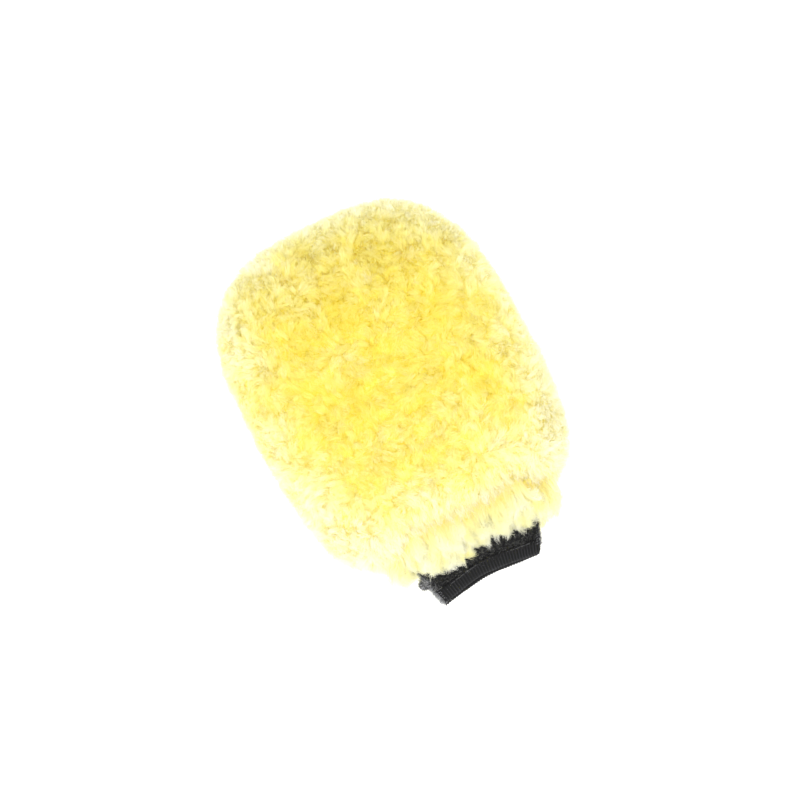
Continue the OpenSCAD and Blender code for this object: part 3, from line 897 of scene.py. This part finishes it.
def tube(name, path, radius, sides, material):
    """A round thread along a path, closed at both ends."""
    tangent = unit(np.gradient(path, axis=0))
    first, second = tangents(tangent)
    for n in range(1, len(path)):
        first[n] = unit(first[n - 1] - tangent[n] * (first[n - 1] @ tangent[n]))
    second = np.cross(tangent, first)
    angle = np.linspace(0, TAU, sides, endpoint=False)[None, :, None]
    ring = first[:, None] * np.cos(angle) + second[:, None] * np.sin(angle)
    points = path[:, None] + ring * np.broadcast_to(radius, len(path))[:, None, None]
    count = len(path) * sides
    cap = np.arange(sides)
    ends = [cap[None], (cap + count - sides)[None, ::-1]]
    faces = [grid_faces(len(path), sides, True, True)] + [e[:, ::-1] for e in ends]
    return mesh_object(name, points.reshape(-1, 3), faces, None, material)


OVERLOCK_PITCH = 1.5 * MM
OVERLOCK_T, OVERLOCK_SIDES, OVERLOCK_STEPS = 0.27 * MM, 7, 18


def overlock(side, name, node):
    """Thread wound over one side of the cuff."""
    turns = int((ROOT_Y - panel_end_y(1.0)) / OVERLOCK_PITCH)
    angle = np.linspace(0, turns * TAU, turns * OVERLOCK_STEPS)
    t = np.linspace(0, 0.985, len(angle))
    edge = cuff_at(np.full_like(t, side * 1.0), t, 0, 1)
    in_band = t > t_at(1.0, fold_y(1.0) + BAND_W)
    high = panel_in(1.0, t) + CUFF_T + np.where(in_band, BAND_T + FOLD_GAP, 0) + 0.15 * MM
    wide = 1.9 * MM + 0.3 * MM * np.sin(angle * 0.37)
    path = edge.copy()
    path[:, 0] += side * (wide * np.cos(angle) - 1.2 * MM)
    path[:, 2] = PLANE_Z + high * np.sin(angle) + (edge[:, 2] - PLANE_Z - panel_in(1.0, t))
    thread = tube(name, path, OVERLOCK_T, OVERLOCK_SIDES, OVERLOCK_THREAD)
    on_cuff(thread)
    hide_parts(node)


def overlock_fray(side, name, pale, count, seed):
    """Fibres frayed from one side's thread, longer towards the hem."""
    rng = np.random.default_rng(seed)
    t = rng.uniform(0.02, 1.0, count) ** 0.9
    edge = cuff_at(np.full(count, side * 1.0), t, 0, 1)
    root = edge + np.stack([
        -side * (rng.random(count) ** 1.4 * 4.2 - 0.3) * MM,
        rng.normal(size=count) * 0.4 * MM,
        -panel_in(1.0, t) + rng.uniform(-1, 1, count) * (panel_in(1.0, t) + CUFF_T),
    ], -1)
    out = unit(np.array([side * 1.0, -0.25, 0]) + rng.normal(size=(count, 3)) * 0.45)
    first, second = tangents(out)
    paths = curled_paths(
        root,
        out,
        rng.uniform(1.2, 3.0, count) * MM * (0.6 + 0.5 * t),
        rng.normal(size=(count, 3)) * 0.5 * MM,
        (first, second),
        rng.uniform(0.1, 0.4, count) * MM,
        rng.uniform(0, TAU, count),
        rng.uniform(0.5, 1.4, count),
    )
    widths = np.linspace(0.26, 0.12, SEGMENTS + 1)[None] * MM * rng.uniform(0.7, 1.3, (count, 1))
    facing = unit(np.array([0, 0, 1.0]) + 0.8 * rng.normal(size=(count, 3)))
    tone = pale + 0.35 * (t - 0.5) * pale + 0.2 * rng.normal(size=count)
    fray = fibre_object(name, (paths, widths, facing, tone), FRAY)
    on_cuff(fray)


TAIL_TURNS, TAIL_T, TAIL_SIDES = 1.25, 1.8, 16


def seam_tail(count, seed):
    """The loose end of the side seam, curled up into a small fuzzy lump."""
    rng = np.random.default_rng(seed)
    lo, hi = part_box("seam_tail")
    middle = np.array([(lo.x + hi.x) / 2, (lo.y + hi.y) / 2, PLANE_Z])
    q = np.linspace(0, 1, 60)
    angle = 0.4 + q * TAIL_TURNS * TAU
    far = (3.6 - 2.2 * q) * MM
    path = middle + np.stack([
        far * np.cos(angle), far * np.sin(angle) * 0.9, (q * 3.4 - 0.6) * MM
    ], -1)
    thick = (TAIL_T - 0.5 * q**3 + 0.14 * np.sin(q * 90)) * MM
    tail = tube("curled_tail", path, thick, TAIL_SIDES, KNIT)
    on_cuff(tail, blended=False)
    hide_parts("seam_tail")
    pick = rng.integers(0, len(path), count)
    out = unit(rng.normal(size=(count, 3)))
    first, second = tangents(out)
    paths = curled_paths(
        path[pick] + out * (thick[pick] * 0.8)[:, None],
        out,
        rng.uniform(0.6, 1.6, count) * MM,
        rng.normal(size=(count, 3)) * 0.6 * MM,
        (first, second),
        rng.uniform(0.2, 0.5, count) * MM,
        rng.uniform(0, TAU, count),
        rng.uniform(0.6, 1.5, count),
    )
    widths = np.full((count, SEGMENTS + 1), 0.24 * MM)
    tone = 0.62 + 0.35 * rng.normal(size=count)
    fluff = fibre_object("curled_tail_fluff", (paths, widths, out, tone), FRAY)
    on_cuff(fluff, blended=False)


OVERLOCK_THREAD = thread_material("overlock_thread", (0.035, 0.036, 0.040), (0.13, 0.13, 0.14))
for word, side in HALVES:
    panel = cuff_panel(f"{word}_cuff_cloth", f"cuff_{word}_panel", side, 41)
    band = hem_band(f"{word}_ribbed_band", f"{word}_hem_band", side)
    fuzz(f"{word}_cuff_fuzz", side, 9000, 43 + side)
overlock(-1, "left_overlock", "cuff_left_overlock")
overlock_fray(-1, "left_overlock_fray", 0.80, 4200, 45)
overlock(1, "right_overlock", "cuff_right_overlock")
overlock_fray(1, "right_overlock_fray", 0.14, 1000, 46)
seam_tail(1600, 47)

# ---------------------------------------------------------------- wool over the cuff


FRINGE_STEPS = 6
FRINGE_GAP = 2.6 * MM
FRINGE_FROM, FRINGE_TO = CROWN_STEPS - 11, CROWN_STEPS - 1
FRINGE_HALF_W, FRINGE_FADE = 70 * MM, 24 * MM
FRINGE_LONG = 21.5
FRINGE_PAST = 7
CORNER_CUT, CORNER_SPREAD = 10, 0.22
FRINGE_SINK = 5 * MM
FRINGE_ROOT_W, FRINGE_TIP_W = 0.44, 0.14


def fringe_lengths(locks, seed, rng):
    """How far each lock hangs: ragged, longer out past the cuff's sides, and cut short at its
    left corner, where the seam's tail shows."""
    ragged = 1.6 * waves(locks, 12 * MM, seed + 1) + 0.5 * rng.normal(size=len(locks))
    beyond = np.clip((locks[:, 1] - BODY_Y + 100 * MM) / MM, -24, 0) * 0.3
    x = locks[:, 0] / CUFF_ROOT_HALF_W
    past = np.minimum(x**2, 1) * FRINGE_PAST * smooth((1.45 - np.abs(x)) / 0.4)
    corner = CORNER_CUT * np.exp(-((x + 1) / CORNER_SPREAD) ** 2)
    return (FRINGE_LONG + ragged + beyond + past - corner) * MM


def lift_over_cuff(paths, side):
    """Fibres raised clear of the cuff's panel where they lie over it, and of the floor."""
    s = np.clip(paths[..., 0] / CUFF_ROOT_HALF_W, -1, 1)
    t = (ROOT_Y - paths[..., 1]) / (ROOT_Y - HEM_Y)
    clear = panel_in(s, np.clip(t, 0, 1)) + CUFF_T + 0.6 * MM
    over = np.where(np.abs(paths[..., 0]) < CUFF_ROOT_HALF_W + 2 * MM, clear, 0)
    height = side * (paths[..., 2] - PLANE_Z)
    paths[..., 2] = PLANE_Z + side * np.where(t > -0.1, np.maximum(height, over), height)
    paths[..., 2] = np.maximum(paths[..., 2], 0.3 * MM)


def mouth_fringe(name, shell, side, count, pieces, seed):
    """Ragged locks that hang from the wool's mouth over the root of the cuff."""
    rng = np.random.default_rng(seed)
    turns, rows, normal, _ = pile_surface(shell, side)
    weight = np.zeros((len(rows) - 1, len(turns)))
    share = mouth_share(shell, turns)
    x = np.abs(reach(shell, turns) * np.cos(turns))
    beside = np.where(np.sin(turns) < 0, smooth((FRINGE_HALF_W - x) / FRINGE_FADE), 0)
    weight[FRINGE_FROM:FRINGE_TO] = (beside * (0.6 + 0.4 * share))[None, :]
    spots, spots_out = sample_rows(rows, normal, weight, count // 2, rng)
    kept = thin_out(spots, FRINGE_GAP)
    locks, locks_out = spots[kept], spots_out[kept]
    surface, out = sample_rows(rows, normal, weight, count, rng)
    own = nearest(locks, surface)[0][:, 0]
    lock_count = len(locks)
    length = fringe_lengths(locks, seed, rng)
    first, second = tangents(locks_out)
    lean = rng.normal(size=(lock_count, 3)) * 1.4 * MM + np.array([0, 0, -side * 5.0]) * MM
    lean[:, 0] += waves(locks, 7 * MM, seed + 4) * 3.2 * MM
    ahead = np.array([0, -1, -side * 0.15])
    paths = curled_paths(
        surface - out * FRINGE_SINK,
        unit(out * 0.45 + ahead),
        length[own] * rng.uniform(0.66, 1.03, count),
        lean[own] + (locks[own] - surface) * 0.25 + rng.normal(size=(count, 3)) * 1.0 * MM,
        (first[own], second[own]),
        rng.uniform(1.3, 2.8, lock_count)[own] * MM,
        rng.uniform(0, TAU, lock_count)[own] + rng.normal(size=count) * 0.7,
        rng.uniform(1.1, 2.0, lock_count)[own],
        FRINGE_STEPS,
    )
    lift_over_cuff(paths, side)
    taper = np.linspace(FRINGE_ROOT_W, FRINGE_TIP_W, FRINGE_STEPS + 1)[None, :] * MM
    widths = taper * rng.uniform(0.75, 1.25, (count, 1))
    facing = unit(out + [0, 0, side * 0.6] + 0.35 * rng.normal(size=(count, 3)))
    tuft = waves(locks, 7 * MM, seed + 3)
    # Tone: pale as the painted edge light at the mouth, varied at random from lock to lock
    tone = 0.80 + 0.16 * tuft[own] + 0.05 * rng.normal(size=lock_count)[own]
    for part in range(pieces):
        fibres = some((paths, widths, facing, tone), slice(part, None, pieces))
        fringe = fibre_object(f"{name}_{part + 1}", fibres, WOOL)
        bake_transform(fringe)


mouth_fringe("top_wool_fringe", WOOL_UP, 1, 24000, 2, 51)
mouth_fringe("bottom_wool_fringe", WOOL_DOWN, -1, 13000, 1, 52)

# ---------------------------------------------------------------- threads that the frame holds

THREADS = {
    "perimeter_seam": ((0.55, 0.47, 0.32), (0.78, 0.70, 0.52)),
    "lining_seam": ((0.40, 0.40, 0.38), (0.66, 0.66, 0.62)),
    "cuff_join_seam": ((0.012, 0.012, 0.013), (0.040, 0.040, 0.043)),
    "top_hem_stitch": ((0.010, 0.010, 0.011), (0.045, 0.046, 0.049)),
    "bottom_hem_stitch": ((0.010, 0.010, 0.011), (0.045, 0.046, 0.049)),
}
for node, (dark, light) in THREADS.items():
    material = thread_material(node + "_thread", dark, light)
    for held in frame["nodes"][node].material_slots:
        held.material = material

# ---------------------------------------------------------------- stage, light and camera

FLOOR_HALF = 4
FLOOR_GLOW, WORLD_LIGHT = 0.4, 1.33
corners = np.array([[-1, -1, 0], [1, -1, 0], [1, 1, 0], [-1, 1, 0]]) * FLOOR_HALF
floor_material, _, _, floor_shader = new_material("floor", 1, 0)
floor_shader.inputs["Base Color"].default_value = (0.9, 0.9, 0.9, 1)
floor_shader.inputs["Emission Color"].default_value = (1, 1, 1, 1)
floor_shader.inputs["Emission Strength"].default_value = FLOOR_GLOW
floor = mesh_object("floor", corners, [np.array([[0, 1, 2, 3]])], None, floor_material)

world = bpy.data.worlds.new("studio")
bpy.context.scene.world = world
world.use_nodes = True
world.node_tree.nodes["Background"].inputs["Color"].default_value = (1, 1, 1, 1)
world.node_tree.nodes["Background"].inputs["Strength"].default_value = WORLD_LIGHT


def area_light(name, place, target, size, power):
    data = bpy.data.lights.new(name, "AREA")
    data.size, data.energy = size, power
    light = bpy.data.objects.new(name, data)
    bpy.context.scene.collection.objects.link(light)
    light.location = place
    light.rotation_euler = (Vector(target) - Vector(place)).to_track_quat("-Z", "Y").to_euler()


CAMERA_HEADING = math.radians(28)
CAMERA_ELEVATION = math.radians(76)
CAMERA_DISTANCE = 1.7
FRAME_WIDTH = 0.554
SENSOR_WIDTH = 36
KEY_BEHIND, KEY_ABOVE, KEY_SIZE, KEY_POWER = 0.8, 1.1, 0.9, 9
AHEAD = Vector((math.sin(CAMERA_HEADING), math.cos(CAMERA_HEADING), 0))
LOOK_AT = Vector((0, 0, PLANE_Z))
key_place = LOOK_AT - AHEAD * KEY_BEHIND + Vector((0, 0, KEY_ABOVE))
area_light("key", key_place, LOOK_AT, KEY_SIZE, KEY_POWER)

camera_data = bpy.data.cameras.new("camera")
camera = bpy.data.objects.new("camera", camera_data)
bpy.context.scene.collection.objects.link(camera)
back = -AHEAD * math.cos(CAMERA_ELEVATION) + Vector((0, 0, math.sin(CAMERA_ELEVATION)))
camera.location = LOOK_AT + back * CAMERA_DISTANCE
camera.rotation_euler = (-back).to_track_quat("-Z", "Y").to_euler()
camera_data.sensor_width = SENSOR_WIDTH
camera_data.lens = SENSOR_WIDTH * CAMERA_DISTANCE / FRAME_WIDTH
scene = bpy.context.scene
scene.camera = camera
scene.view_settings.view_transform = "Standard"

# Wool is lit mostly by light that has passed through many fibres
scene.cycles.diffuse_bounces = 20
scene.cycles.transmission_bounces = 20
scene.cycles.max_bounces = 24
